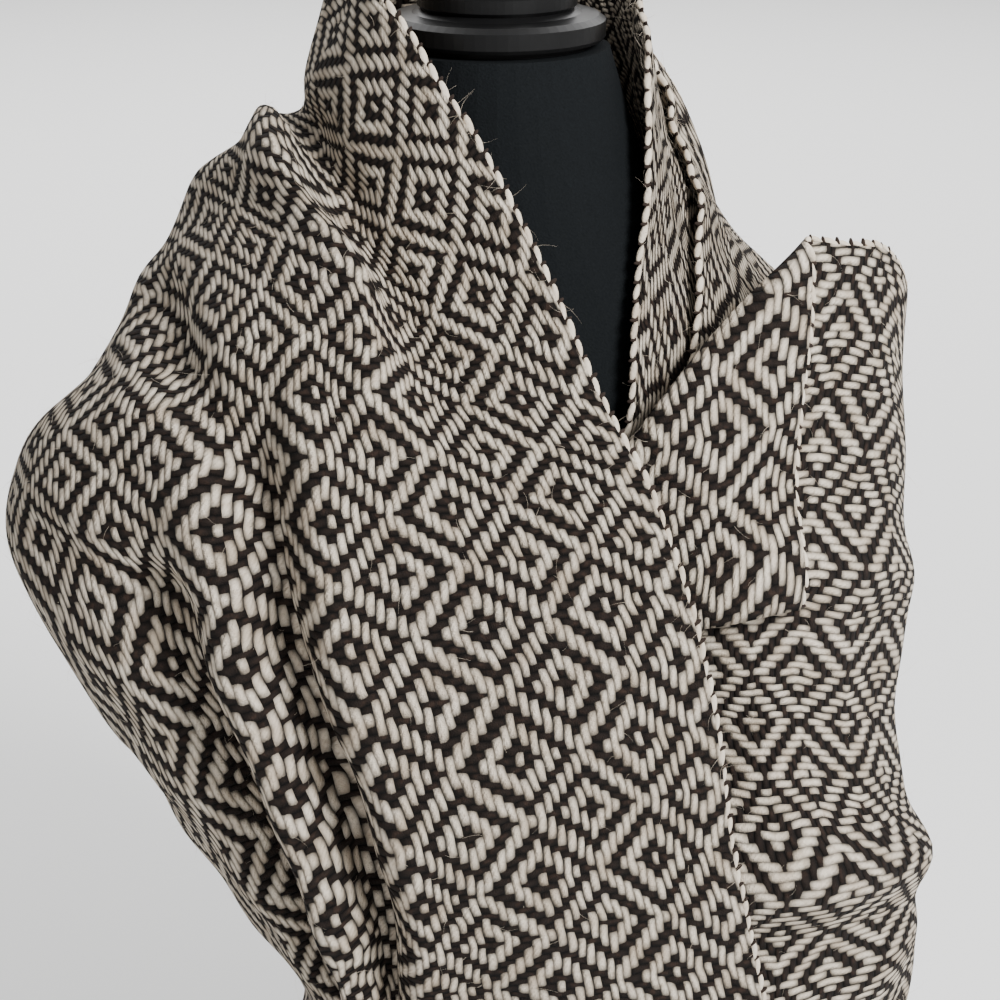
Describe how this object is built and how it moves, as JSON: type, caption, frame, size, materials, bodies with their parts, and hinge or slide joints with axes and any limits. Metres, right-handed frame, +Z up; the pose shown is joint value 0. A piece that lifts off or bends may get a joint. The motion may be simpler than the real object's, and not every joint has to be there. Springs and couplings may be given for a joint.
{
  "type": "rebozo shawl on a dress form",
  "caption": "Hand-woven wool rebozo in cream and dark brown diamond twill, wrapped round a black dress form with a turned neck cap.",
  "frame": {"origin": "centre of the form's flat base, on the surface that it stands on", "axes": "+Z up along the neck, -Y to the front, +X to the viewer's right"},
  "size_m": [0.4944, 0.3873, 0.8203],
  "materials": {
    "woven_wool": "thick hand-spun wool twill, cream warp and dark brown weft, plump and slightly fuzzy",
    "form_cover": "tight black jersey, matt",
    "cap_black": "satin black turned cap"
  },
  "bodies": {
    "root": {"rebozo": "woven_wool", "form_body": "form_cover", "neck_cap": "cap_black"}
  },
  "joints": []
}
